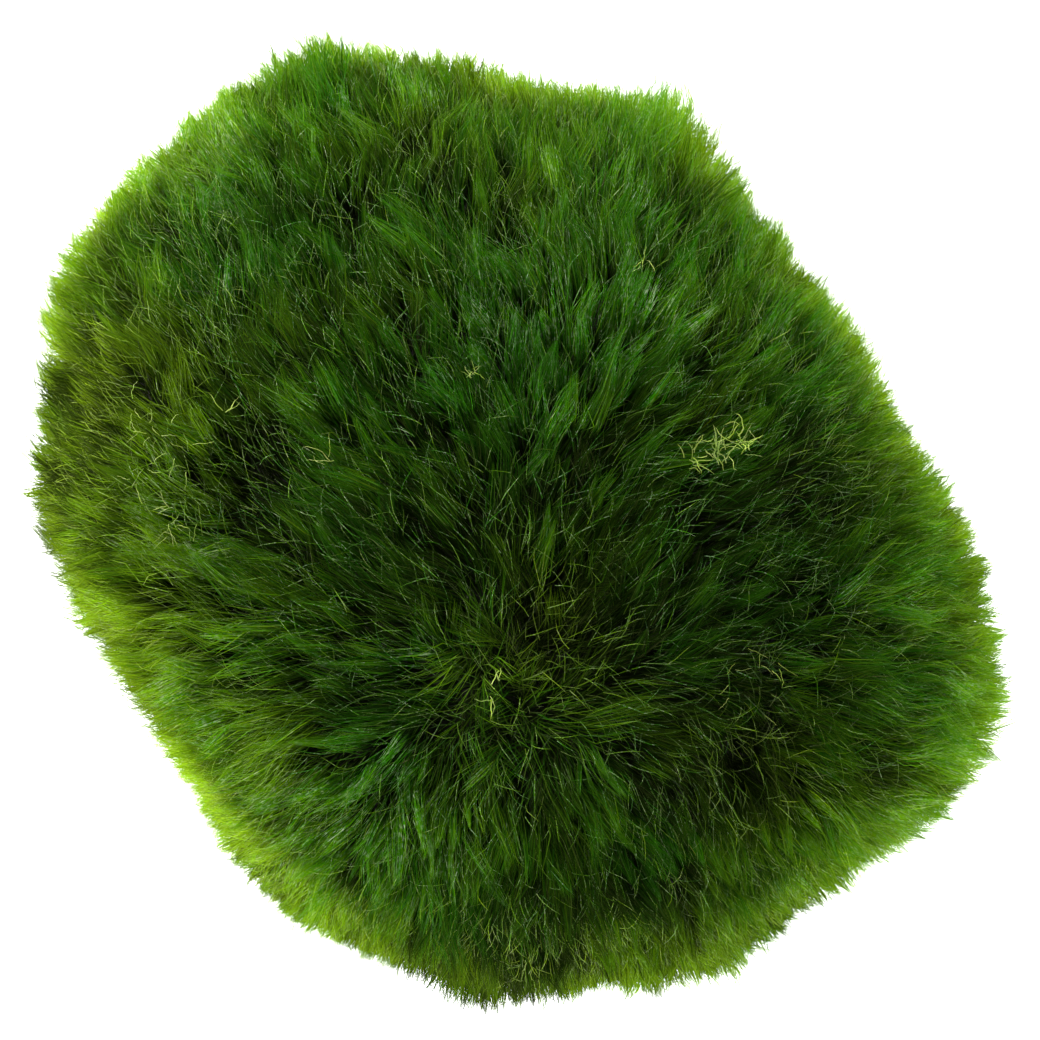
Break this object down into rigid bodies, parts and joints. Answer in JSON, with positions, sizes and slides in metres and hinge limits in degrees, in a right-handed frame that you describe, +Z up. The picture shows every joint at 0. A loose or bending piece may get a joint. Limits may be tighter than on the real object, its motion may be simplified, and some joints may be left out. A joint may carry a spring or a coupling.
{
  "type": "marimo moss ball",
  "caption": "Soft, slightly angular ball of green algae fibres that lies on its flattened underside, for an aquarium or a glass jar.",
  "frame": {"origin": "middle of the box around the ball, on the surface that it lies on", "axes": "+Z up out of the surface, +X along the ball's longer side, +Y across it"},
  "size_m": [0.0616, 0.0504, 0.0475],
  "materials": {
    "moss": "soft dense fibres, dull, with fine wet glints"
  },
  "bodies": {
    "root": {"moss_ball": "moss"}
  },
  "joints": []
}
